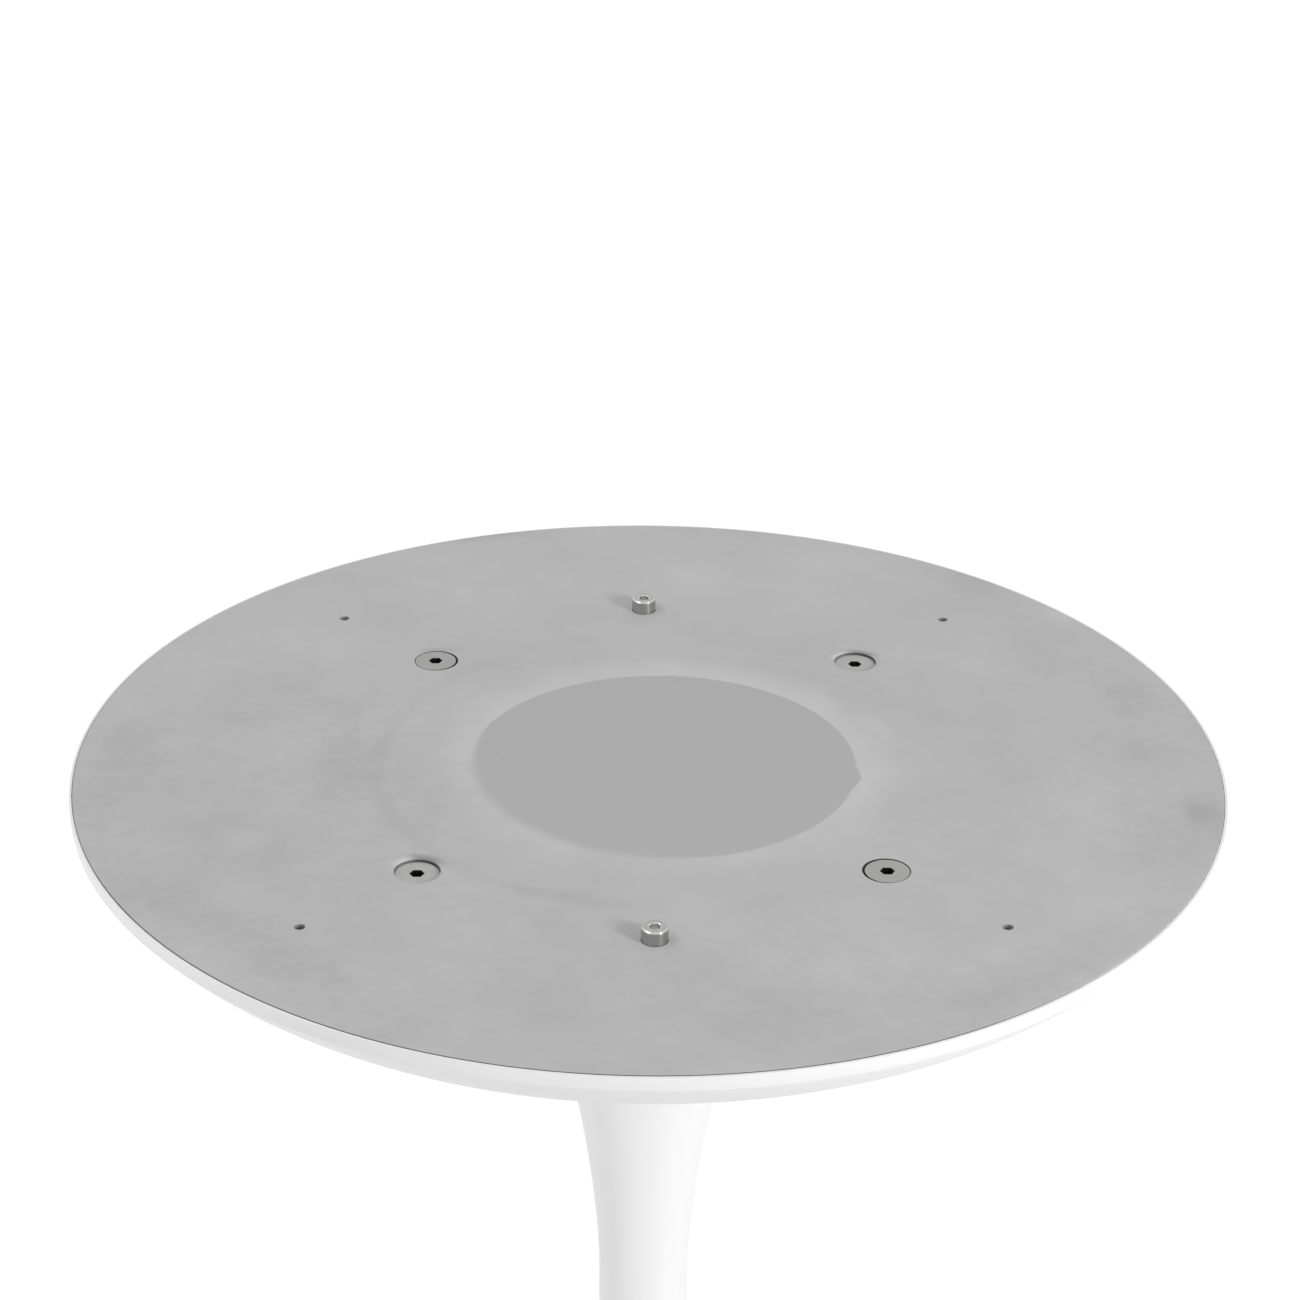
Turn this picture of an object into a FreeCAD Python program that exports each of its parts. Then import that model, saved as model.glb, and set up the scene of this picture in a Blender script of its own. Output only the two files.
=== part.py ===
import FreeCAD, Part
import math
import os

from FreeCAD import Vector

# Tulip table base: a hollow trumpet pedestal cast in one piece, with a ground steel plate
# let into its bell to carry a table top.
# Millimetres, +Z up. The origin lies on the floor, on the pedestal's axis.

# Heights above the floor
base_height = 700.0             # upper face of the support plate
waist_height = 453.0            # narrowest place of the stem

# Support plate
plate_diameter = 450.0
plate_thickness = 5.0
plate_edge_break = 0.3
plate_gap = 0.2                 # between the plate's edge and the bell's lip

# Bell of the pedestal, which the plate closes
lip_width = 1.0
lip_drop = 0.3                  # lip below the plate's face, so that a top bears on the plate alone
rim_height = 5.5                # upright band round the bell
rim_round = 1.0
bowl_depth = 44.5               # plate's face to the shoulder's lower end
shoulder_diameter = 303.0       # where the rounded shoulder runs into the underside
underside_slope = 5.0           # degrees
flare_diameter = 160.0          # where the underside runs into the stem's flare
casting_wall = 4.5

# Stem: how far each end of a curve keeps its own direction
waist_diameter = 37.2
flare_pull = 60.0               # upwards from the waist
bell_pull = 38.0                # inwards from the bell's underside
stem_pull = 280.0               # downwards from the waist
foot_pull = 220.0               # inwards from the foot's edge

# Foot
foot_diameter = 500.0
foot_band = 6.0                 # upright edge of the foot
foot_slope = 3.0                # degrees, at the foot's edge
foot_round = 1.5
foot_rim = 12.0                 # width of the thickened rim underneath

# Rubber ring under the foot
ring_height = 3.0               # foot's clearance over the floor
ring_width = 8.0
ring_inset = 2.0                # from the foot's edge
groove_depth = 1.5
groove_clearance = 0.1          # on each side of the ring
ring_round = 0.8

# Countersunk screws that hold the plate, on a square
screw_spacing = 175.0
screw_thread = 8.0
screw_length = 20.0
screw_head = 17.2
screw_head_land = 0.25
screw_socket = 5.0              # across flats
screw_socket_depth = 3.0
screw_hole = 9.0
screw_entry = 18.0
flush_depth = 0.1               # head below the plate's face, on one diagonal
sunk_depth = 1.3                # the same on the other diagonal
boss_diameter = 22.0
boss_lead = 1.8                 # countersink of the tapped hole
tap_run_out = 4.0               # tapped hole beyond the screw's end
thread_clearance = 0.1          # between a plain shank and its tapped hole
thread_point = 1.0              # bevel on a screw's end

# Cap screws that stand proud and locate the table top, in a line along Y
pin_spacing = 274.0
pin_thread = 6.0
pin_length = 10.0               # below the head
pin_head = 10.0
pin_head_height = 6.0
pin_edge_break = 0.6
pin_bearing_break = 0.25        # on the head's lower edge
pin_socket = 4.0                # across flats
pin_socket_depth = 2.5
pin_seat_depth = 0.3
pin_seat_clearance = 0.3        # round the head, in its spot face

# Small through holes for wood screws, on a square
hole_spacing = 256.0
hole_diameter = 4.0

# Worked out from the sizes above
plate_radius = plate_diameter / 2
plate_underside = base_height - plate_thickness
seat_radius = plate_radius + plate_gap
rim_radius = seat_radius + lip_width
foot_radius = foot_diameter / 2
ring_centre = foot_radius - ring_inset - ring_width / 2
cut_margin = 1.0                # how far a cutting body passes the face it opens
same_place = 1e-4               # two points nearer than this are one


def point(radius, height):
    """A point of a section drawn in the XZ plane."""
    return Vector(radius, 0, height)


def toward(angle, length):
    """A step in the section, at an angle in degrees above the outward direction."""
    return point(math.cos(math.radians(angle)), math.sin(math.radians(angle))) * length


def line(start, end):
    return Part.LineSegment(start, end).toShape()


def path(points):
    return [line(start, end) for start, end in zip(points, points[1:])]


def curve(*poles):
    bezier = Part.BezierCurve()
    bezier.setPoles(list(poles))
    return bezier.toShape()


def revolve(edges):
    """Turns a closed section round the pedestal's axis."""
    section = Part.Face(Part.Wire(Part.__sortEdges__(edges)))
    return section.revolve(Vector(0, 0, 0), Vector(0, 0, 1), 360)


def turned(points):
    """Turns a closed outline of straight lines."""
    return revolve(path(points + points[:1]))


def hexagon(across_flats, depth):
    """A hexagonal prism whose upper end is at the origin."""
    corner_radius = across_flats / math.sqrt(3)
    corners = [Vector(corner_radius * math.cos(math.radians(angle)),
                      corner_radius * math.sin(math.radians(angle)), -depth)
               for angle in range(0, 420, 60)]
    return Part.Face(Part.makePolygon(corners)).extrude(Vector(0, 0, depth + cut_margin))


def square(spacing):
    """Centres of a square pattern, from +X +Y round to +X -Y."""
    half = spacing / 2
    return [Vector(half, half), Vector(-half, half), Vector(-half, -half), Vector(half, -half)]


def at(shape, centre, height):
    placed = shape.copy()
    placed.translate(Vector(centre.x, centre.y, height))
    return placed


def ring_edges(shape, *rings):
    """The circular edges of a turned body that lie at the given radii and heights."""
    wanted = [point(radius, height) for radius, height in rings]
    return [edge for edge in shape.Edges
            if edge.Closed and any(edge.distToShape(Part.Vertex(place))[0] < same_place for place in wanted)]


# Pedestal

def trumpet(depth):
    """The pedestal's side from the foot's edge up to the shoulder, as edges.

    depth 0 is the outer skin and depth 1 the inner one, a wall further in.
    """
    inset = depth * casting_wall
    foot_edge = point(foot_radius - depth * foot_rim, ring_height + foot_band - inset)
    waist = point(waist_diameter / 2 - inset, waist_height)
    inward = toward(underside_slope + 90, inset)
    shoulder = point(shoulder_diameter / 2, base_height - bowl_depth)
    slant = (shoulder_diameter - flare_diameter) / 2 / math.cos(math.radians(underside_slope))
    flare = shoulder - toward(underside_slope, slant)
    stem = curve(foot_edge, foot_edge + toward(180 - foot_slope, foot_pull),
                 waist - point(0, stem_pull), waist)
    bell = curve(waist, waist + point(0, flare_pull),
                 flare + inward - toward(underside_slope, bell_pull), flare + inward)
    return foot_edge, [stem, bell, line(flare + inward, shoulder + inward)], shoulder


def shoulder_arc(shoulder, depth, end_height):
    """The arc that rounds the shoulder up to a height, tangent to the underside."""
    normal = toward(underside_slope + 90, 1)
    chord = point(rim_radius, base_height - rim_height) - shoulder
    outer_radius = chord.Length ** 2 / (2 * chord.dot(normal))
    centre = shoulder + normal * outer_radius
    radius = outer_radius - depth * casting_wall
    start = underside_slope - 90
    end = -math.degrees(math.asin((centre.z - end_height) / radius))
    middle = centre + toward((start + end) / 2, radius)
    return Part.Arc(centre + toward(start, radius), middle, centre + toward(end, radius)).toShape()


def skin_body():
    """Everything inside the pedestal's outer surface."""
    foot_edge, side, shoulder = trumpet(0)
    arc = shoulder_arc(shoulder, 0, base_height - rim_height)
    lip_height = base_height - lip_drop
    bottom = path([point(0, ring_height), point(foot_radius, ring_height), foot_edge])
    top = path([arc.Vertexes[-1].Point, point(rim_radius, lip_height), point(0, lip_height),
                point(0, ring_height)])
    body = revolve(bottom + side + [arc] + top)
    body = body.makeFillet(foot_round, ring_edges(body, (foot_radius, foot_edge.z),
                                                  (foot_radius, ring_height)))
    return body.makeFillet(rim_round, ring_edges(body, (rim_radius, base_height - rim_height)))


def inner_body(depth, seat):
    """The space inside the casting, at a share of its wall, with the plate's seat or without."""
    foot_edge, side, shoulder = trumpet(depth)
    arc = shoulder_arc(shoulder, depth, plate_underside)
    bottom = path([point(0, ring_height - cut_margin), point(foot_edge.x, ring_height - cut_margin),
                   foot_edge])
    rise = [arc.Vertexes[-1].Point]
    if seat:
        opening = base_height + cut_margin
        rise += [point(seat_radius, plate_underside), point(seat_radius, opening), point(0, opening)]
    else:
        rise += [point(0, plate_underside)]
    top = path(rise + [point(0, ring_height - cut_margin)])
    return revolve(bottom + side + [arc] + top)


def screw_boss():
    """A tapped post, its top at the origin."""
    tap_radius = screw_thread / 2 + thread_clearance
    tap_depth = screw_length - plate_thickness + tap_run_out
    post = Part.makeCylinder(boss_diameter / 2, bowl_depth, Vector(0, 0, -bowl_depth))
    tap = Part.makeCylinder(tap_radius, tap_depth, Vector(0, 0, -tap_depth))
    lead = Part.makeCone(tap_radius, tap_radius + boss_lead, boss_lead, Vector(0, 0, -boss_lead))
    return post, tap.fuse(lead)


def ring_groove():
    width = ring_width / 2 + groove_clearance
    inner = ring_centre - width
    outer = ring_centre + width
    roof = ring_height + groove_depth
    floor = ring_height - cut_margin
    return turned([point(inner, floor), point(outer, floor), point(outer, roof), point(inner, roof)])


def pedestal():
    body = skin_body().cut(inner_body(1, True))
    inside_wall = inner_body(0.5, False)
    post, tap = screw_boss()
    for centre in square(screw_spacing):
        body = body.fuse(at(post, centre, plate_underside).common(inside_wall))
    for centre in square(screw_spacing):
        body = body.cut(at(tap, centre, plate_underside))
    return body.cut(ring_groove()).removeSplitter()


# Support plate

def through_hole(radius):
    """A hole through the plate, whose face is at the origin."""
    return Part.makeCylinder(radius, plate_thickness + 2 * cut_margin,
                             Vector(0, 0, -plate_thickness - cut_margin))


def seat_height(radius):
    """Height of a countersunk head's right-angled seat at a radius, with the head's top at the origin."""
    return radius - screw_head / 2 - screw_head_land


def screw_cone(bottom_radius, top_radius):
    """A stretch of that seat, as a body."""
    return Part.makeCone(bottom_radius, top_radius, top_radius - bottom_radius,
                         Vector(0, 0, seat_height(bottom_radius)))


def screw_depths():
    """Centre and depth of each countersunk head: one diagonal flush, the other sunk."""
    return list(zip(square(screw_spacing), [sunk_depth, flush_depth, sunk_depth, flush_depth]))


def screw_opening(head_depth):
    """A countersunk hole for a head at a depth below the plate's face, which is at the origin."""
    entry_radius = screw_entry / 2
    seat = at(screw_cone(screw_hole / 2, entry_radius), Vector(), -head_depth)
    mouth = Part.makeCylinder(entry_radius, head_depth + cut_margin,
                              Vector(0, 0, seat_height(entry_radius) - head_depth))
    return through_hole(screw_hole / 2).fuse([seat, mouth])


def pin_centres():
    return [Vector(0, pin_spacing / 2), Vector(0, -pin_spacing / 2)]


def support_plate():
    plate = Part.makeCylinder(plate_radius, plate_thickness, Vector(0, 0, plate_underside))
    plate = plate.makeChamfer(plate_edge_break, ring_edges(plate, (plate_radius, base_height),
                                                           (plate_radius, plate_underside)))
    for centre, depth in screw_depths():
        plate = plate.cut(at(screw_opening(depth), centre, base_height))
    for centre in square(hole_spacing):
        plate = plate.cut(at(through_hole(hole_diameter / 2), centre, base_height))
    pin_hole = through_hole(pin_thread / 2 + thread_clearance)
    pin_seat = Part.makeCylinder(pin_head / 2 + pin_seat_clearance, pin_seat_depth + cut_margin,
                                 Vector(0, 0, -pin_seat_depth))
    for centre in pin_centres():
        plate = plate.cut(at(pin_hole.fuse(pin_seat), centre, base_height))
    return plate


# Fasteners

def shank(thread, top, bottom):
    """A screw's plain shank, bevelled at its end."""
    radius = thread / 2
    return turned([point(0, top), point(radius, top), point(radius, bottom + thread_point),
                   point(radius - thread_point, bottom), point(0, bottom)])


def countersunk_screw():
    head_radius = screw_head / 2
    land = Part.makeCylinder(head_radius, screw_head_land, Vector(0, 0, -screw_head_land))
    thread_radius = screw_thread / 2
    cone = screw_cone(thread_radius, head_radius)
    stem = shank(screw_thread, seat_height(thread_radius), -screw_length)
    screw = land.fuse([cone, stem]).removeSplitter()
    return screw.cut(hexagon(screw_socket, screw_socket_depth))


def cap_screw():
    """A cap screw, the underside of its head at the origin."""
    head_radius = pin_head / 2
    head = Part.makeCylinder(head_radius, pin_head_height)
    head = head.makeChamfer(pin_edge_break, ring_edges(head, (head_radius, pin_head_height)))
    head = head.makeChamfer(pin_bearing_break, ring_edges(head, (head_radius, 0)))
    screw = head.fuse(shank(pin_thread, 0, -pin_length)).removeSplitter()
    return screw.cut(at(hexagon(pin_socket, pin_socket_depth), Vector(), pin_head_height))


def plate_screws():
    screw = countersunk_screw()
    return Part.makeCompound([at(screw, centre, base_height - depth) for centre, depth in screw_depths()])


def locating_screws():
    screw = cap_screw()
    return Part.makeCompound([at(screw, centre, base_height - pin_seat_depth) for centre in pin_centres()])


# Floor ring

def floor_ring():
    inner = ring_centre - ring_width / 2
    outer = ring_centre + ring_width / 2
    top = ring_height + groove_depth
    ring = turned([point(inner, 0), point(outer, 0), point(outer, top), point(inner, top)])
    return ring.makeFillet(ring_round, ring_edges(ring, (inner, 0), (outer, 0)))


os.makedirs("parts", exist_ok=True)
for build in (pedestal, support_plate, plate_screws, locating_screws, floor_ring):
    shape = build()
    shape.exportStep("parts/" + build.__name__ + ".step")
    print(build.__name__, "solids:", len(shape.Solids), "valid:", shape.isValid(), "mm3: %.0f" % shape.Volume)
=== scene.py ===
import math

import bpy
from mathutils import Matrix, Vector


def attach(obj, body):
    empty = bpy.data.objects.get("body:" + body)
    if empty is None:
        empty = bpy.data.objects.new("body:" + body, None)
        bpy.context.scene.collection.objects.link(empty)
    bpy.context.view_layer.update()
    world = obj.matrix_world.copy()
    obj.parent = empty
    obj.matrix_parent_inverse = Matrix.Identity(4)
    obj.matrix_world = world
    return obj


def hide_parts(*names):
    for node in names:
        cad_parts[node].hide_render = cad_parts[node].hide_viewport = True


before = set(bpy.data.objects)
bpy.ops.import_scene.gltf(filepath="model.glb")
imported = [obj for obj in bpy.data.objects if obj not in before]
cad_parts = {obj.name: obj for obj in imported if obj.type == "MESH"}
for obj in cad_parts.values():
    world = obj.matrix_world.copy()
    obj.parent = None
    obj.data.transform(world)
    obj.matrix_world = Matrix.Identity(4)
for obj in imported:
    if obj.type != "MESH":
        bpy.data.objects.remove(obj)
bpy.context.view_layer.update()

bpy.context.scene.view_settings.view_transform = "Standard"


# Floor ring
# A ring of black rubber, moulded and pressed into the groove under the foot.
# It keeps the metal off the floor and stops the base from sliding.

mm = 0.001
ring_inner, ring_outer, ring_top, ring_round = 240.0, 248.0, 4.5, 0.8
large_round = 192                 # steps round the ring and the pedestal
crease = math.radians(25)         # an edge that turns more than this stays sharp


def toward(angle, length):
    """A step in a section, at an angle in degrees above the outward direction."""
    return Vector((math.cos(math.radians(angle)), math.sin(math.radians(angle)))) * length


def knot(radius, height):
    """A corner of a section. A bent line's knot has a handle before or after it in place of None."""
    return (Vector((radius, height)), None, None)


def arc(centre, radius, start, end):
    """The two knots of an arc in a section, each with the handle that rounds it."""
    pull = 4 / 3 * math.tan(math.radians(end - start) / 4) * radius
    first, last = centre + toward(start, radius), centre + toward(end, radius)
    return [(first, None, first + toward(start + 90, pull)), (last, last - toward(end + 90, pull), None)]


def turned(name, section, steps, fineness=0.01, curve_points=12, seam=0.004):
    """Draws a closed section from its knots, in mm, and spins it round the Z axis.

    Points of the drawn line nearer than its fineness are merged, and after the spin those nearer than a seam.
    """
    bpy.ops.object.select_all(action="DESELECT")
    bpy.ops.curve.primitive_bezier_curve_add()
    drawn = bpy.context.object
    drawn.name = name
    drawn.data.resolution_u = curve_points
    spline = drawn.data.splines[0]
    spline.bezier_points.add(len(section) - 2)
    spline.use_cyclic_u = True
    for point, (spot, handle_in, handle_out) in zip(spline.bezier_points, section):
        point.handle_left_type = "FREE" if handle_in else "VECTOR"
        point.handle_right_type = "FREE" if handle_out else "VECTOR"
        spots = [Vector((p[0], 0, p[1])) * mm for p in (spot, handle_in or spot, handle_out or spot)]
        point.co, point.handle_left, point.handle_right = spots
    bpy.ops.object.convert(target="MESH")
    bpy.ops.object.mode_set(mode="EDIT")
    bpy.ops.mesh.select_all(action="SELECT")
    bpy.ops.mesh.remove_doubles(threshold=fineness * mm)
    bpy.ops.mesh.spin(steps=steps, angle=2 * math.pi, center=(0, 0, 0), axis=(0, 0, 1))
    bpy.ops.mesh.select_all(action="SELECT")
    bpy.ops.mesh.remove_doubles(threshold=seam * mm)
    bpy.ops.mesh.normals_make_consistent(inside=False)
    bpy.ops.object.mode_set(mode="OBJECT")
    bpy.ops.object.shade_smooth_by_angle(angle=crease)
    return drawn


outer_corner = arc(Vector((ring_outer - ring_round, ring_round)), ring_round, -90, 0)
inner_corner = arc(Vector((ring_inner + ring_round, ring_round)), ring_round, 180, 270)
floor_ring = turned("moulded_floor_ring", outer_corner
                    + [knot(ring_outer, ring_top), knot(ring_inner, ring_top)] + inner_corner, large_round)


def new_finish(name):
    """A new material and its empty tree of nodes."""
    material = bpy.data.materials.new(name)
    material.use_nodes = True
    material.node_tree.nodes.clear()
    return material, material.node_tree


def linear(colour):
    """An sRGB hex value as the linear colour that a socket takes."""
    parts = [int(colour[place:place + 2], 16) / 255 for place in (1, 3, 5)]
    return [part / 12.92 if part <= 0.04045 else ((part + 0.055) / 1.055) ** 2.4 for part in parts] + [1.0]


def add(tree, kind, settings={}, **inputs):
    """Adds a node, sets it up, and fills its inputs with values or with other nodes' outputs.

    An input is given by its name, or by i and its number where names repeat.
    """
    node = tree.nodes.new("ShaderNode" + kind)
    for name, value in settings.items():
        setattr(node, name, value)
    for name, value in inputs.items():
        socket = node.inputs[int(name[1:]) if name[1:].isdigit() else name.replace("_", " ")]
        if isinstance(value, bpy.types.NodeSocket):
            tree.links.new(value, socket)
        else:
            socket.default_value = value
    return node.outputs


rubber, tree = new_finish("moulded_black_rubber")
# Black rubber out of a blasted mould: matt, with a fine even grain and a grey bloom in patches.
place = add(tree, "TexCoord")["Object"]
bloom = add(tree, "TexNoise", Vector=place, Scale=1 / (30 * mm), Detail=3.0)["Fac"]
colour = add(tree, "Mix", {"data_type": "RGBA"}, i0=bloom, i6=linear("#161616"), i7=linear("#262625"))[2]
# The mould's grain is about 0.1 mm, drawn at 0.6 mm so that it shows.
grain = add(tree, "TexNoise", Vector=place, Scale=1 / (0.6 * mm), Detail=1.0)["Fac"]
relief = add(tree, "Bump", Height=grain, Strength=0.4, Distance=0.1 * mm)["Normal"]
shine = add(tree, "MapRange", Value=bloom, To_Min=0.62, To_Max=0.8)["Result"]
shader = add(tree, "BsdfPrincipled", Base_Color=colour, Roughness=shine, Normal=relief, IOR=1.52)["BSDF"]
add(tree, "OutputMaterial", Surface=shader)

floor_ring.data.materials.append(rubber)
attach(floor_ring, "root")
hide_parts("floor_ring")


# Pedestal
# One hollow aluminium casting: foot, stem and bell, with a ledge for the plate and four tapped posts
# inside the bell. It is fettled smooth and powder coated white.

foot_radius, foot_underside, foot_shoulder, foot_corner, foot_slope = 250.0, 3.0, 9.0, 1.5, 3.0
foot_hollow, groove_inner, groove_outer, groove_top = 238.0, 239.9, 248.1, 4.5
waist_radius, waist_height, wall = 18.6, 453.0, 4.5
rim_radius, rim_underside, rim_corner, lip_top = 226.2, 694.5, 1.0, 699.7
plate_seat_radius, plate_ledge = 225.2, 695.0
shoulder_radius, shoulder_height, underside_slope, flare_run = 151.5, 655.5, 5.0, 71.5
# The handles that bend the foot's slope, the stem below and above its waist, and the flare
foot_pull, stem_pull, neck_pull, flare_pull = 220.0, Vector((0, 280.0)), Vector((0, 60.0)), 38.0
post_radius, post_foot, post_bore, post_bore_end, post_bore_mouth = 11.0, 656.0, 4.1, 676.0, 5.9
post_round = 48

shoulder = Vector((shoulder_radius, shoulder_height))
rim_edge = Vector((rim_radius, rim_underside))
out_of_wall = toward(underside_slope + 90, 1)
shoulder_bend = (rim_edge - shoulder).length_squared / (2 * (rim_edge - shoulder).dot(out_of_wall))
bend_centre = shoulder + out_of_wall * shoulder_bend
flare = shoulder - toward(underside_slope, flare_run / math.cos(math.radians(underside_slope)))
waist = Vector((waist_radius, waist_height))

# Outside, from the groove under the foot up to the lip
low_corner = Vector((foot_radius - foot_corner, foot_underside + foot_corner))
slope = math.radians(foot_slope)
high_corner = Vector((low_corner.x, foot_shoulder + foot_corner * (math.tan(slope) - 1 / math.cos(slope))))
foot_edge = arc(high_corner, foot_corner, 0, 90 - foot_slope)
up_the_foot = Vector((foot_radius, foot_shoulder)) + toward(180 - foot_slope, foot_pull)
outside = [knot(foot_hollow, foot_underside), knot(groove_inner, foot_underside), knot(groove_inner, groove_top),
           knot(groove_outer, groove_top), knot(groove_outer, foot_underside)]
outside += arc(low_corner, foot_corner, -90, 0) + [foot_edge[0], foot_edge[1][:2] + (up_the_foot,)]
outside += [(waist, waist - stem_pull, waist + neck_pull),
            (flare, flare - toward(underside_slope, flare_pull), None)]
edge_centre = Vector((rim_radius - rim_corner, 0))
edge_centre.y = bend_centre.y - math.sqrt((shoulder_bend - rim_corner) ** 2 - (edge_centre.x - bend_centre.x) ** 2)
meet = math.degrees(math.atan2(edge_centre.y - bend_centre.y, edge_centre.x - bend_centre.x))
bend = arc(bend_centre, shoulder_bend, underside_slope - 90, meet)
round_edge = arc(edge_centre, rim_corner, meet, 0)
outside += [bend[0], bend[1][:2] + round_edge[0][2:], round_edge[1], knot(rim_radius, lip_top)]

# Inside, from the lip down to the foot's hollow
ledge_end = -math.degrees(math.asin((bend_centre.y - plate_ledge) / (shoulder_bend - wall)))
inner_flare = flare + out_of_wall * wall
inner_waist = Vector((waist_radius - wall, waist_height))
inner_foot = Vector((foot_hollow, foot_shoulder - wall))
inside = [knot(plate_seat_radius, lip_top), knot(plate_seat_radius, plate_ledge)]
inside += arc(bend_centre, shoulder_bend - wall, ledge_end, underside_slope - 90)
inside += [(inner_flare, None, inner_flare - toward(underside_slope, flare_pull)),
           (inner_waist, inner_waist + neck_pull, inner_waist - stem_pull),
           (inner_foot, inner_foot + toward(180 - foot_slope, foot_pull), None)]

pedestal = turned("pedestal_casting", outside + inside, large_round, fineness=0.25, curve_points=48)


def square(half_side):
    """The corners of a square round the Z axis, from the back right one round to the left."""
    return [(half_side, half_side), (-half_side, half_side), (-half_side, -half_side), (half_side, -half_side)]


def pick(*pieces):
    """Selects these pieces alone, with the first of them active."""
    bpy.ops.object.select_all(action="DESELECT")
    for piece in pieces:
        piece.select_set(True)
    bpy.context.view_layer.objects.active = pieces[0]


screw_centres = square(87.5)
post = [knot(0, post_foot), knot(post_radius, post_foot), knot(post_radius, plate_ledge),
        knot(post_bore_mouth, plate_ledge), knot(post_bore, plate_ledge - post_bore_mouth + post_bore),
        knot(post_bore, post_bore_end), knot(0, post_bore_end)]
for x, y in screw_centres:
    tapped_post = turned("tapped_post", post, post_round)
    tapped_post.data.transform(Matrix.Translation((x * mm, y * mm, 0)))
    pick(pedestal, tapped_post)
    bpy.ops.object.join()

white_coat, tree = new_finish("satin_white_powder_coat")
# Baked polyester powder: an even satin white whose soft gloss shows a slight orange peel,
# with a faint cloudiness where the powder lies thicker.
place = add(tree, "TexCoord")["Object"]
cloud = add(tree, "TexNoise", Vector=place, Scale=1 / (70 * mm), Detail=2.0)["Fac"]
colour = add(tree, "Mix", {"data_type": "RGBA"}, i0=cloud, i6=linear("#f0f0f0"), i7=linear("#f5f5f5"))[2]
# Orange peel of powder is 1 to 3 mm from crest to crest, and is drawn 0.02 mm deep so that it shows.
peel = add(tree, "TexNoise", Vector=place, Scale=1 / (2.2 * mm), Detail=1.0, Roughness=0.4)["Fac"]
relief = add(tree, "Bump", Height=peel, Strength=0.25, Distance=0.02 * mm)["Normal"]
shine = add(tree, "MapRange", Value=cloud, To_Min=0.44, To_Max=0.54)["Result"]
shader = add(tree, "BsdfPrincipled", Base_Color=colour, Roughness=shine, Normal=relief, IOR=1.5)["BSDF"]
add(tree, "OutputMaterial", Surface=shader)

pedestal.data.materials.append(white_coat)
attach(pedestal, "root")
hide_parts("pedestal")


# Support plate
# A round of 5 mm mild steel, let into the bell on its ledge, with the holes for its own screws,
# for the two locating screws and for the table top's wood screws. Its face is ground and left bare.

plate_radius, plate_thickness, plate_face, edge_break = 225.0, 5.0, 700.0, 0.3
screw_hole, head_radius, head_edge = 4.5, 8.45, 0.40
screw_depths = [1.3, 0.1, 1.3, 0.1]
screw_entries = [8.65, 8.95, 8.65, 9.05]
# The holes were drilled a little off their screws.
screw_slips = [(0.1, 0.1), (0.34, -0.24), (0.1, 0.1), (-0.32, 0.04)]
dish_width, dish_depth, dish_steep, dish_easy = 2.4, 0.4, Vector((0.3, 0.2)), Vector((1.1, 0))
pin_centres, pin_hole, spot_face, spot_depth = [(0, 137.0), (0, -137.0)], 3.1, 5.15, 0.3
hole_centres, wood_screw_hole, hole_break = square(128.0), 2.0, 0.2
# Where the painted shade ends round the locating screws and in the small holes, and the share of the tone that it
# leaves
pin_shade_edge, hole_shade_edge = 5.04, 1.9
sunk_shade, flush_shade, pin_shade, hole_shade = 0.34, 0.06, 0.40, 0.12
plate_round, screw_round, pin_round, hole_round = 288, 96, 64, 40

bpy.ops.object.select_all(action="DESELECT")
bpy.ops.mesh.primitive_cylinder_add(vertices=plate_round, radius=plate_radius * mm, depth=plate_thickness * mm,
                                    location=(0, 0, (plate_face - plate_thickness / 2) * mm))
plate = bpy.context.object
plate.name = "ground_plate"
bpy.ops.object.transform_apply(location=True)
bpy.ops.object.mode_set(mode="EDIT")
bpy.ops.mesh.select_all(action="DESELECT")
bpy.ops.object.mode_set(mode="OBJECT")
for edge in plate.data.edges:
    heights = {round(plate.data.vertices[v].co.z / mm, 3) for v in edge.vertices}
    edge.select = len(heights) == 1
bpy.ops.object.mode_set(mode="EDIT")
bpy.ops.mesh.select_mode(type="EDGE")
bpy.ops.mesh.bevel(offset=edge_break * mm, segments=1, affect="EDGES")
bpy.ops.object.mode_set(mode="OBJECT")


def cut(piece, cutters, merge=0.002):
    """Takes all the cutters out of a piece at once, and merges the points that fall together."""
    pick(*cutters)
    if len(cutters) > 1:
        bpy.ops.object.join()
    taken = piece.modifiers.new("cut", "BOOLEAN")
    taken.operation, taken.solver, taken.object = "DIFFERENCE", "EXACT", cutters[0]
    pick(piece)
    bpy.ops.object.modifier_apply(modifier="cut")
    bpy.data.objects.remove(cutters[0])
    bpy.ops.object.mode_set(mode="EDIT")
    bpy.ops.mesh.select_all(action="SELECT")
    bpy.ops.mesh.remove_doubles(threshold=merge * mm)
    bpy.ops.mesh.dissolve_degenerate(threshold=merge * mm)
    bpy.ops.object.mode_set(mode="OBJECT")
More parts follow.
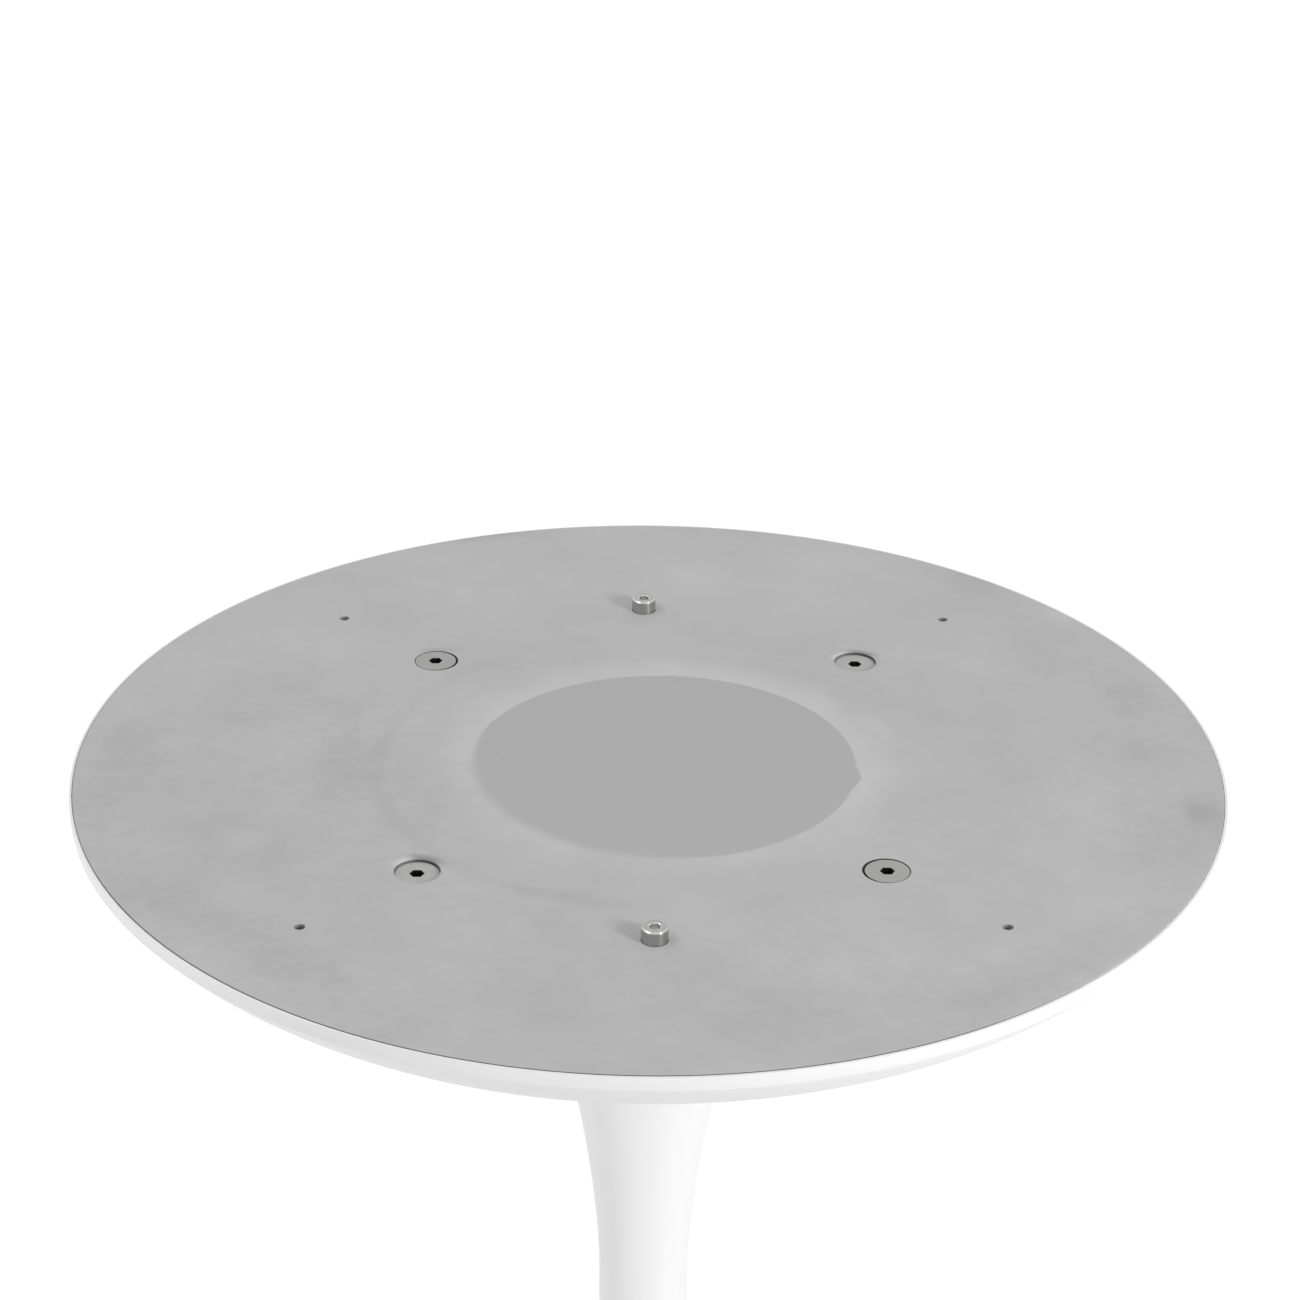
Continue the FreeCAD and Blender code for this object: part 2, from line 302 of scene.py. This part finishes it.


# Each drill is a middle, a section and the steps round it, and the painted shade in it a middle, a radius and a
# tone.
# The drills reach past the plate's faces, and a dish runs out just over the face, so that no faces coincide.
past, run_out = 1.0, 0.01
top, under = plate_face + past, plate_face - plate_thickness - past
drills = []
painted_shade_spots = []
for (x, y), depth, entry, (slip_x, slip_y) in zip(screw_centres, screw_depths, screw_entries, screw_slips):
    centre = (x + slip_x, y + slip_y)
    sunk = depth > 1
    seat = plate_face - depth + entry - head_radius - head_edge - math.hypot(slip_x, slip_y)
    countersink = [knot(0, under), knot(screw_hole, under), knot(screw_hole, seat - entry + screw_hole),
                   knot(entry, seat)]
    if sunk:
        # The deep screws have drawn the hole's edge down, which leaves it rounded and slightly dished.
        lip = Vector((entry, plate_face - dish_depth))
        outer = Vector((entry + dish_width, plate_face + run_out))
        countersink += [(lip, None, lip + dish_steep), (outer, outer - dish_easy, None),
                        knot(entry + dish_width, top)]
    else:
        countersink += [knot(entry, top)]
    drills.append((centre, countersink + [knot(0, top)], screw_round))
    painted_shade_spots.append((centre, entry, sunk_shade if sunk else flush_shade))
for centre in pin_centres:
    drills.append((centre, [knot(0, under), knot(pin_hole, under), knot(pin_hole, plate_face - spot_depth),
                            knot(spot_face, plate_face - spot_depth), knot(spot_face, top),
                            knot(0, top)], pin_round))
    painted_shade_spots.append((centre, pin_shade_edge, pin_shade))
for centre in hole_centres:
    drills.append((centre, [knot(0, under), knot(wood_screw_hole, under),
                            knot(wood_screw_hole, plate_face - hole_break),
                            knot(wood_screw_hole + hole_break + past, top), knot(0, top)], hole_round))
    painted_shade_spots.append((centre, hole_shade_edge, hole_shade))
cutters = []
for (x, y), section, steps in drills:
    cutters.append(turned("drill", section, steps))
    cutters[-1].data.transform(Matrix.Translation((x * mm, y * mm, 0)))
cut(plate, cutters)

pick(plate)
bpy.ops.object.shade_smooth_by_angle(angle=crease)
# The face stays flat to the eye right up to the dished edges.
level = 0.99999
for polygon in plate.data.polygons:
    polygon.select = polygon.normal.z > level
bpy.ops.object.mode_set(mode="EDIT")
bpy.ops.mesh.select_mode(type="FACE")
bpy.ops.mesh.region_to_loop()
bpy.ops.mesh.mark_sharp()
bpy.ops.object.mode_set(mode="OBJECT")

ground_steel, tree = new_finish("ground_mild_steel")
# Mild steel, ground, rubbed over and stained: a dull even grey with soft blotches, painted shade in its holes,
# round its screws and on its front left edge, and painted light at the screw holes' edges.
# In the middle a smooth round keeps a darker tone inside a pale worn ring.
place = add(tree, "TexCoord")["Object"]
flat = add(tree, "VectorMath", {"operation": "MULTIPLY"}, i0=place, i1=(1, 1, 0))["Vector"]

# Blotches some 60 mm across, with finer mottling in them
blotch = add(tree, "TexNoise", Vector=flat, Scale=1 / (60 * mm), Detail=5.0, Roughness=0.58)["Fac"]
mottle = add(tree, "TexNoise", Vector=flat, Scale=1 / (9 * mm), Detail=3.0, Roughness=0.6)["Fac"]
tone = add(tree, "Math", {"operation": "MULTIPLY_ADD"}, i0=blotch, i1=0.30, i2=0.825)["Value"]
tone = add(tree, "Math", {"operation": "MULTIPLY_ADD"}, i0=mottle, i1=0.07, i2=tone)["Value"]

# Stains and rubbed spots, and painted light: middle, half lengths and turn of each, and how much it darkens or
# brightens.
# The last five are painted light at the screws' holes: a painted highlight and a painted shadow at each sunk
# hole's dished edge, and a painted shadow behind the flush screw at the back left.
stains_and_painted_light = [(-72, 214, 36, 9, 18, -0.12), (143, 168, 26, 14, -40, -0.07), (197, 58, 15, 30, 0, -0.07),
          (212, -44, 11, 18, 0, -0.11), (134, -160, 62, 17, 40, -0.08), (-120, 2, 16, 52, 0, -0.06),
          (-31, -107, 26, 6, -15, -0.06), (-150, -135, 66, 18, -40, -0.06), (-208, -8, 17, 62, 0, -0.06),
          (-153, -66, 14, 12, 0, 0.06), (178, 132, 12, 8, -50, 0.08), (40, 165, 64, 36, 0, 0.03),
          (92, 31, 6, 20, 20, 0.07), (-160, -60, 110, 150, 0, -0.045), (0, -195, 170, 60, 0, -0.045),
          (205, -10, 34, 100, 0, -0.05), (20, 180, 230, 80, 0, 0.03),
          # Painted light at the holes: a highlight and a shadow at each sunk hole, then the shadow behind the
          # flush screw
          (-93.4, -80.7, 7, 3.2, 37, 0.22), (-84.0, -79.7, 9, 4.0, -25, -0.46), (81.4, 93.1, 6, 2.6, 40, 0.28),
          (90.3, 95.3, 9, 3.2, -22, -0.45), (-87, 97, 12, 3.4, 0, -0.16)]
for x, y, half_x, half_y, turn, change in stains_and_painted_light:
    local = add(tree, "Mapping", {"vector_type": "TEXTURE"}, Vector=flat, Location=(x * mm, y * mm, 0),
                Rotation=(0, 0, math.radians(turn)), Scale=(half_x * mm, half_y * mm, 1))["Vector"]
    reach = add(tree, "VectorMath", {"operation": "LENGTH"}, i0=local)["Value"]
    ragged = add(tree, "Math", {"operation": "MULTIPLY_ADD"}, i0=mottle, i1=0.9, i2=reach)["Value"]
    stain_or_painted_light = add(tree, "MapRange", {"interpolation_type": "SMOOTHSTEP"}, Value=ragged,
                From_Min=0.5, From_Max=1.6, To_Min=change, To_Max=0.0)["Result"]
    tone = add(tree, "Math", {"operation": "ADD"}, i0=tone, i1=stain_or_painted_light)["Value"]

# The worn ring, palest towards the back and the right, and a darker rub line further out at the left
worn_middle = (5.2 * mm, -2.8 * mm, 0)
worn_from, worn_to, rub_radius, rub_half_width = 77.5, 98.0, 112.0, 6.0
centred = add(tree, "VectorMath", {"operation": "SUBTRACT"}, i0=flat, i1=worn_middle)["Vector"]
from_middle = add(tree, "VectorMath", {"operation": "LENGTH"}, i0=centred)["Value"]
facing = add(tree, "VectorMath", {"operation": "NORMALIZE"}, i0=centred)["Vector"]
back_right = add(tree, "VectorMath", {"operation": "DOT_PRODUCT"}, i0=facing, i1=(0.40, 0.92, 0))["Value"]
strength = add(tree, "MapRange", Value=back_right, From_Min=-1, From_Max=1, To_Min=0.055, To_Max=0.11)["Result"]
fade = add(tree, "MapRange", {"interpolation_type": "SMOOTHSTEP"}, Value=from_middle,
           From_Min=worn_from * mm, From_Max=worn_to * mm, To_Min=1.0, To_Max=0.0)["Result"]
tone = add(tree, "Math", {"operation": "MULTIPLY_ADD"}, i0=strength, i1=fade, i2=tone)["Value"]
left = add(tree, "VectorMath", {"operation": "DOT_PRODUCT"}, i0=facing, i1=(-1, -0.2, 0))["Value"]
strength = add(tree, "MapRange", Value=left, From_Min=0.3, From_Max=1, To_Min=0.0, To_Max=0.055)["Result"]
off_line = add(tree, "Math", {"operation": "SUBTRACT"}, i0=from_middle, i1=rub_radius * mm)["Value"]
off_line = add(tree, "Math", {"operation": "ABSOLUTE"}, i0=off_line)["Value"]
rub = add(tree, "MapRange", {"interpolation_type": "SMOOTHSTEP"}, Value=off_line,
          From_Min=0.0, From_Max=rub_half_width * mm, To_Min=-1.0, To_Max=0.0)["Result"]
tone = add(tree, "Math", {"operation": "MULTIPLY_ADD"}, i0=strength, i1=rub, i2=tone)["Value"]

# The smooth round itself, crisp but for a softer band at its lower left and a small point that
# stands out at its right
smooth_edge, crisp_from, soft_from, point_length, point_half_angle = 77.0, 75.8, 69.0, 2.5, 0.13
lower_left = add(tree, "VectorMath", {"operation": "DOT_PRODUCT"}, i0=facing, i1=(-0.77, -0.64, 0))["Value"]
band = add(tree, "MapRange", Value=lower_left, From_Min=0.4, From_Max=1,
           To_Min=crisp_from * mm, To_Max=soft_from * mm)["Result"]
right = add(tree, "VectorMath", {"operation": "DOT_PRODUCT"}, i0=facing, i1=(0.987, -0.160, 0))["Value"]
aside = add(tree, "Math", {"operation": "ARCCOSINE"}, i0=right)["Value"]
point = add(tree, "MapRange", Value=aside, From_Min=0.0, From_Max=point_half_angle,
            To_Min=point_length * mm, To_Max=0.0)["Result"]
inward = add(tree, "Math", {"operation": "SUBTRACT"}, i0=from_middle, i1=point)["Value"]
smooth_round = add(tree, "MapRange", {"interpolation_type": "SMOOTHSTEP"}, Value=inward,
                   From_Min=band, From_Max=smooth_edge * mm, To_Min=1.0, To_Max=0.0)["Result"]
inner_tone = add(tree, "Math", {"operation": "MULTIPLY_ADD"}, i0=mottle, i1=0.04, i2=0.873)["Value"]
tone = add(tree, "Mix", {"data_type": "FLOAT"}, i0=smooth_round, i2=tone, i3=inner_tone)[0]

# Painted shade in the holes and in the gaps round the screws, which thins out over 0.15 mm at the edge
shade_full, shade_gone = 0.01, 0.16
painted_shade = 1.0
for (x, y), radius, dark in painted_shade_spots:
    offset = add(tree, "VectorMath", {"operation": "DISTANCE"}, i0=flat, i1=(x * mm, y * mm, 0))["Value"]
    unshaded = add(tree, "MapRange", Value=offset, From_Min=(radius + shade_full) * mm,
              From_Max=(radius + shade_gone) * mm, To_Min=dark, To_Max=1.0)["Result"]
    painted_shade = add(tree, "Math", {"operation": "MULTIPLY"}, i0=unshaded, i1=painted_shade)["Value"]
# Painted shade on the bevelled edge at the front, towards the left
edge_shade_from, edge_shade_to = 224.78, 224.86
from_axis = add(tree, "VectorMath", {"operation": "LENGTH"}, i0=flat)["Value"]
front_left = add(tree, "VectorMath", {"operation": "DOT_PRODUCT"}, i0=facing, i1=(-0.29, -0.96, 0))["Value"]
edge_shade_depth = add(tree, "MapRange", Value=front_left, From_Min=0.48, From_Max=0.72, To_Min=0.9, To_Max=0.22)["Result"]
edge_shade = add(tree, "MapRange", Value=from_axis, From_Min=edge_shade_from * mm, From_Max=edge_shade_to * mm,
            To_Min=1.0, To_Max=edge_shade_depth)["Result"]
painted_shade = add(tree, "Math", {"operation": "MULTIPLY"}, i0=edge_shade, i1=painted_shade)["Value"]
tone = add(tree, "Math", {"operation": "MULTIPLY"}, i0=tone, i1=painted_shade)["Value"]

colour = add(tree, "VectorMath", {"operation": "SCALE"}, i0=linear("#bebebe")[:3], Scale=tone)["Vector"]
shine = add(tree, "MapRange", Value=blotch, To_Min=0.74, To_Max=0.84)["Result"]
relief = add(tree, "Bump", Height=mottle, Strength=0.12, Distance=0.03 * mm)["Normal"]
shader = add(tree, "BsdfPrincipled", Base_Color=colour, Roughness=shine, Normal=relief, Metallic=0.2)["BSDF"]
add(tree, "OutputMaterial", Surface=shader)

plate.data.materials.clear()
plate.data.materials.append(ground_steel)
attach(plate, "root")
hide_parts("support_plate")


# Plate screws
# Four M8 countersunk socket screws, headed cold, hardened black and ground bare on the face. They hold
# the plate to the posts in the bell. Two on one diagonal lie flush and the other two sit deeper.

shank_radius, shank_end, shank_tip, face_break = 4.0, -20.0, 1.0, 0.08
screw_socket, screw_socket_depth = 5.0, 3.0

ground_head, tree = new_finish("ground_screw_steel")
# Screw steel ground bare: grey, a little darker than the plate, with fine scratches and an oil film.
place = add(tree, "TexCoord")["Object"]
film = add(tree, "TexNoise", Vector=place, Scale=1 / (4 * mm), Detail=3.0)["Fac"]
handled = add(tree, "Mix", {"data_type": "RGBA"}, i0=film, i6=linear("#a1a1a0"), i7=linear("#b1b1b0"))[2]
clean = add(tree, "Mix", {"data_type": "RGBA"}, i0=film, i6=linear("#acacab"), i7=linear("#bcbcbb"))[2]
# The sunk screws lie where x and y have the same sign. Nothing has rubbed over them, so they are paler.
spread = add(tree, "SeparateXYZ", Vector=place)
corner = add(tree, "Math", {"operation": "MULTIPLY"}, i0=spread["X"], i1=spread["Y"])["Value"]
untouched = add(tree, "Math", {"operation": "GREATER_THAN"}, i0=corner, i1=0.0)["Value"]
colour = add(tree, "Mix", {"data_type": "RGBA"}, i0=untouched, i6=handled, i7=clean)[2]
# Grinding scratches are under 0.1 mm, drawn at 0.4 mm so that they show.
scratch = add(tree, "TexNoise", Vector=place, Scale=1 / (0.4 * mm), Detail=1.0)["Fac"]
relief = add(tree, "Bump", Height=scratch, Strength=0.15, Distance=0.02 * mm)["Normal"]
shine = add(tree, "MapRange", Value=film, To_Min=0.64, To_Max=0.76)["Result"]
shader = add(tree, "BsdfPrincipled", Base_Color=colour, Roughness=shine, Normal=relief, Metallic=0.3)["BSDF"]
add(tree, "OutputMaterial", Surface=shader)

black_oxide, tree = new_finish("black_oxide_steel")
# Steel blackened by heat and oil: almost black, satin, with a slight cloudy sheen.
place = add(tree, "TexCoord")["Object"]
film = add(tree, "TexNoise", Vector=place, Scale=1 / (3 * mm), Detail=2.0)["Fac"]
colour = add(tree, "Mix", {"data_type": "RGBA"}, i0=film, i6=linear("#1b1b1c"), i7=linear("#2b2b2c"))[2]
shine = add(tree, "MapRange", Value=film, To_Min=0.40, To_Max=0.55)["Result"]
shader = add(tree, "BsdfPrincipled", Base_Color=colour, Roughness=shine, Metallic=0.6)["BSDF"]
add(tree, "OutputMaterial", Surface=shader)


def hexagon_punch(across_flats, depth, height):
    """A hexagon bar that sinks a socket from a height, with two of its corners to the left and right."""
    bpy.ops.object.select_all(action="DESELECT")
    bpy.ops.mesh.primitive_cylinder_add(vertices=6, radius=across_flats / math.sqrt(3) * mm,
                                        depth=2 * depth * mm, location=(0, 0, height * mm))
    punch = bpy.context.object
    bpy.ops.object.transform_apply(location=True)
    bpy.ops.object.mode_set(mode="EDIT")
    bpy.ops.mesh.select_all(action="SELECT")
    bpy.ops.transform.rotate(value=math.radians(30), orient_axis="Z", center_override=(0, 0, 0))
    bpy.ops.object.mode_set(mode="OBJECT")
    return punch


# The face lies at zero, and each copy is set down to its depth.
countersunk = turned("plate_screw", [
    knot(0, shank_end), knot(shank_radius - shank_tip, shank_end), knot(shank_radius, shank_end + shank_tip),
    knot(shank_radius, shank_radius - head_radius - head_edge), knot(head_radius, -head_edge),
    knot(head_radius, -face_break), knot(head_radius - face_break, 0), knot(0, 0)], screw_round)
cut(countersunk, [hexagon_punch(screw_socket, screw_socket_depth, 0)])
countersunk.data.materials.clear()
countersunk.data.materials.append(ground_head)
countersunk.data.materials.append(black_oxide)
# The face and its broken edge are bare. The socket, the cone and the shank stay black.
for polygon in countersunk.data.polygons:
    ground_bare = polygon.normal.z > 0.6 and polygon.center.z > -0.1 * mm
    polygon.material_index = 0 if ground_bare else 1
pick(countersunk)
bpy.ops.object.shade_smooth_by_angle(angle=crease)

for number, ((x, y), depth) in enumerate(zip(screw_centres, screw_depths), start=1):
    screw = bpy.data.objects.new("plate_screw_%d" % number, countersunk.data.copy())
    bpy.context.collection.objects.link(screw)
    screw.data.transform(Matrix.Translation((x * mm, y * mm, (plate_face - depth) * mm)))
    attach(screw, "root")
    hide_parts("plate_screws")
bpy.data.objects.remove(countersunk)


# Locating screws
# Two M6 cap screws of plain steel, screwed down on spot faces. Their heads stand proud and drop into
# blind holes under the table top.

pin_shank, pin_end, pin_tip = 3.0, -10.0, 1.0
cap_radius, cap_height, cap_break, cap_chamfer, chamfer_round = 5.0, 6.0, 0.25, 0.6, 0.15
cap_socket, cap_socket_depth, socket_mouth, mouth_slope = 4.0, 2.5, 2.45, math.radians(30)

bright_steel, tree = new_finish("bright_turned_steel")
# Plain steel off the lathe: a clean grey with fine turning rings, whose chamfers catch the lamps and carry painted
# highlights.
place = add(tree, "TexCoord")["Object"]
film = add(tree, "TexNoise", Vector=place, Scale=1 / (4 * mm), Detail=3.0)["Fac"]
colour = add(tree, "Mix", {"data_type": "RGBA"}, i0=film, i6=linear("#a0a09f"), i7=linear("#b2b2b1"))[2]
# Painted highlights: the socket and its mouth, and the head's chamfer, are painted paler so that they shine. Both
# fade over a short way.
# Folded over, the two screws lie on the back one's axis.
back_pin = (0, pin_centres[0][1] * mm, 0)
socket_bright, socket_plain, chamfer_plain, chamfer_bright = 2.4, 2.6, 4.2, 4.5
side_top, chamfer_foot = 705.0, 705.2
folded = add(tree, "VectorMath", {"operation": "ABSOLUTE"}, i0=place)["Vector"]
flat = add(tree, "VectorMath", {"operation": "MULTIPLY"}, i0=folded, i1=(1, 1, 0))["Vector"]
off_axis = add(tree, "VectorMath", {"operation": "DISTANCE"}, i0=flat, i1=back_pin)["Value"]
socket_painted_highlight = add(tree, "MapRange", Value=off_axis, From_Min=socket_bright * mm, From_Max=socket_plain * mm,
                  To_Min=0.75, To_Max=0.0)["Result"]
chamfer_painted_highlight = add(tree, "MapRange", Value=off_axis, From_Min=chamfer_plain * mm, From_Max=chamfer_bright * mm,
                To_Max=0.45)["Result"]
spread = add(tree, "SeparateXYZ", Vector=place)
upper = add(tree, "MapRange", Value=spread["Z"], From_Min=side_top * mm, From_Max=chamfer_foot * mm)["Result"]
chamfer_painted_highlight = add(tree, "Math", {"operation": "MULTIPLY"}, i0=chamfer_painted_highlight, i1=upper)["Value"]
painted_highlight = add(tree, "Math", {"operation": "MAXIMUM"}, i0=socket_painted_highlight, i1=chamfer_painted_highlight)["Value"]
# Painted highlight: the socket and the chamfer are lightened towards a pale grey.
colour = add(tree, "Mix", {"data_type": "RGBA"}, i0=painted_highlight, i6=colour, i7=linear("#dededd"))[2]
# The marks run round the head, so the lamps' light is drawn out across them.
side = add(tree, "Math", {"operation": "SIGN"}, i0=spread["Y"])["Value"]
axis = add(tree, "VectorMath", {"operation": "SCALE"}, i0=back_pin, Scale=side)["Vector"]
spoke = add(tree, "VectorMath", {"operation": "SUBTRACT"}, i0=place, i1=axis)["Vector"]
along = add(tree, "VectorMath", {"operation": "CROSS_PRODUCT"}, i0=(0, 0, 1), i1=spoke)["Vector"]
# Turning marks are about 0.1 mm apart, drawn at 0.4 mm so that they show.
rings = add(tree, "TexNoise", Vector=place, Scale=1 / (0.4 * mm), Detail=1.0)["Fac"]
relief = add(tree, "Bump", Height=rings, Strength=0.15, Distance=0.02 * mm)["Normal"]
shine = add(tree, "MapRange", Value=film, To_Min=0.22, To_Max=0.32)["Result"]
shader = add(tree, "BsdfPrincipled", Base_Color=colour, Roughness=shine, Normal=relief, Metallic=1.0,
             Anisotropic=0.8, Anisotropic_Rotation=0.25, Tangent=along)["BSDF"]
add(tree, "OutputMaterial", Surface=shader)

# The head stands on zero. Its chamfer is rounded a little into the side and into the top.
side_edge = Vector((cap_radius, cap_height - cap_chamfer))
top_edge = Vector((cap_radius - cap_chamfer, cap_height))
slant, slant_pull = Vector((-0.11, 0.11)), Vector((-0.05, 0.05))
chamfer = [(side_edge - Vector((0, chamfer_round)), None, side_edge),
           (side_edge + slant, side_edge + slant_pull, None),
           (top_edge - slant, None, top_edge - slant_pull),
           (top_edge - Vector((chamfer_round, 0)), top_edge, None)]
cap = turned("locating_screw", [
    knot(0, pin_end), knot(pin_shank - pin_tip, pin_end), knot(pin_shank, pin_end + pin_tip), knot(pin_shank, 0),
    knot(cap_radius - cap_break, 0), knot(cap_radius, cap_break)] + chamfer + [knot(0, cap_height)], screw_round)
cut(cap, [hexagon_punch(cap_socket, cap_socket_depth, cap_height)])
mouth = turned("mouth", [knot(0, cap_height - socket_mouth * math.tan(mouth_slope)),
                         knot(socket_mouth + past, cap_height + past * math.tan(mouth_slope)),
                         knot(0, cap_height + past)], screw_round)
cut(cap, [mouth])
cap.data.materials.clear()
cap.data.materials.append(bright_steel)
pick(cap)
bpy.ops.object.shade_smooth_by_angle(angle=crease)

for number, (x, y) in enumerate(pin_centres, start=1):
    screw = bpy.data.objects.new("locating_screw_%d" % number, cap.data.copy())
    bpy.context.collection.objects.link(screw)
    screw.data.transform(Matrix.Translation((x * mm, y * mm, (plate_face - spot_depth) * mm)))
    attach(screw, "root")
    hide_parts("locating_screws")
bpy.data.objects.remove(cap)


# Studio
# A pale floor, a soft lamp low at the right of the camera, a strip lamp high at the left, a faint one near
# the floor at the left, and an even sky. Floor and sky read as white, and the floor keeps the base's shadow.

# The floor's side, and where its lift begins and is full, in metres
floor_side, lift_from, lift_full = 40.0, 0.35, 1.3
bpy.ops.object.select_all(action="DESELECT")
bpy.ops.mesh.primitive_plane_add(size=floor_side, location=(0, 0, 0))
floor = bpy.context.object
floor.name = "studio_floor"


def seen_ray(tree):
    """1 for a ray that shows a backdrop, straight or in metal or glass, and 0 for one that only lights."""
    ray = add(tree, "LightPath")
    seen = add(tree, "Math", {"operation": "MAXIMUM"}, i0=ray["Is Camera Ray"], i1=ray["Is Glossy Ray"])["Value"]
    return add(tree, "Math", {"operation": "MAXIMUM"}, i0=seen, i1=ray["Is Transmission Ray"])["Value"]


floor_white, tree = new_finish("floor_white")
# Near the base the floor is lifted less, so that the base's shadow shows on it.
from_base = add(tree, "VectorMath", {"operation": "LENGTH"}, i0=add(tree, "TexCoord")["Object"])["Value"]
lift = add(tree, "MapRange", {"interpolation_type": "SMOOTHSTEP"}, Value=from_base,
           From_Min=lift_from, From_Max=lift_full, To_Min=0.27, To_Max=0.54)["Result"]
glow = add(tree, "Math", {"operation": "MULTIPLY"}, i0=seen_ray(tree), i1=lift)["Value"]
paint = add(tree, "BsdfDiffuse", Color=linear("#f6f6f6"))["BSDF"]
light = add(tree, "Emission", Color=linear("#ffffff"), Strength=glow)["Emission"]
add(tree, "OutputMaterial", Surface=add(tree, "AddShader", i0=paint, i1=light)["Shader"])
floor.data.materials.append(floor_white)

sky = bpy.data.worlds.new("sky")
bpy.context.scene.world = sky
sky.use_nodes = True
tree = sky.node_tree
tree.nodes.clear()
strength = add(tree, "MapRange", Value=seen_ray(tree), To_Min=0.50, To_Max=1.0)["Result"]
light = add(tree, "Background", Color=linear("#ffffff"), Strength=strength)["Background"]
add(tree, "OutputWorld", Surface=light)

# Each lamp's long and short side, its watts and where it stands. All are aimed just under the plate.
aim = Vector((0, 0, 0.65))
for name, long_side, short_side, watts, stand in (("key_lamp", 0.5, 0.5, 29.5, (1.66, -1.50, 1.56)),
                                                  ("strip_lamp", 1.6, 0.4, 6.6, (-1.08, -0.12, 2.14)),
                                                  ("fill_lamp", 0.5, 0.5, 3.7, (-1.5, -0.2, 0.30))):
    lamp = bpy.data.objects.new(name, bpy.data.lights.new(name, "AREA"))
    bpy.context.collection.objects.link(lamp)
    lamp.data.shape = "RECTANGLE"
    lamp.data.size, lamp.data.size_y, lamp.data.energy = long_side, short_side, watts
    lamp.location = stand
    lamp.rotation_mode = "QUATERNION"
    lamp.rotation_quaternion = (aim - Vector(stand)).to_track_quat("-Z", "Y")

# The camera looks down on the plate from the front, as a long lens does from 1.36 m. The focal length is
# the one that was found for a picture of 1300 pixels, in such pixels.
turn, rise, tilt, roll = (math.radians(a) for a in (-1.2, 28.11, 1.825, 0.64))
distance, sensor, focal_pixels, picture_pixels = 1.359, 36, 3442, 1300
camera = bpy.data.objects.new("camera", bpy.data.cameras.new("camera"))
bpy.context.collection.objects.link(camera)
bpy.context.scene.camera = camera
camera.data.sensor_width, camera.data.lens = sensor, sensor * focal_pixels / picture_pixels
outward = Vector((0, -math.cos(rise), math.sin(rise)))
upward = Vector((0, math.sin(rise), math.cos(rise)))
backward = outward * math.cos(tilt) - upward * math.sin(tilt)
upward = upward * math.cos(tilt) + outward * math.sin(tilt)
across = Vector((1, 0, 0)) * math.cos(roll) + upward * math.sin(roll)
upward = upward * math.cos(roll) - Vector((1, 0, 0)) * math.sin(roll)
camera_axes = Matrix((across, upward, backward)).transposed().to_4x4()
camera.matrix_world = (Matrix.Translation((0, 0, plate_face * mm)) @ Matrix.Rotation(turn, 4, "Z")
                       @ Matrix.Translation(outward * distance) @ camera_axes)
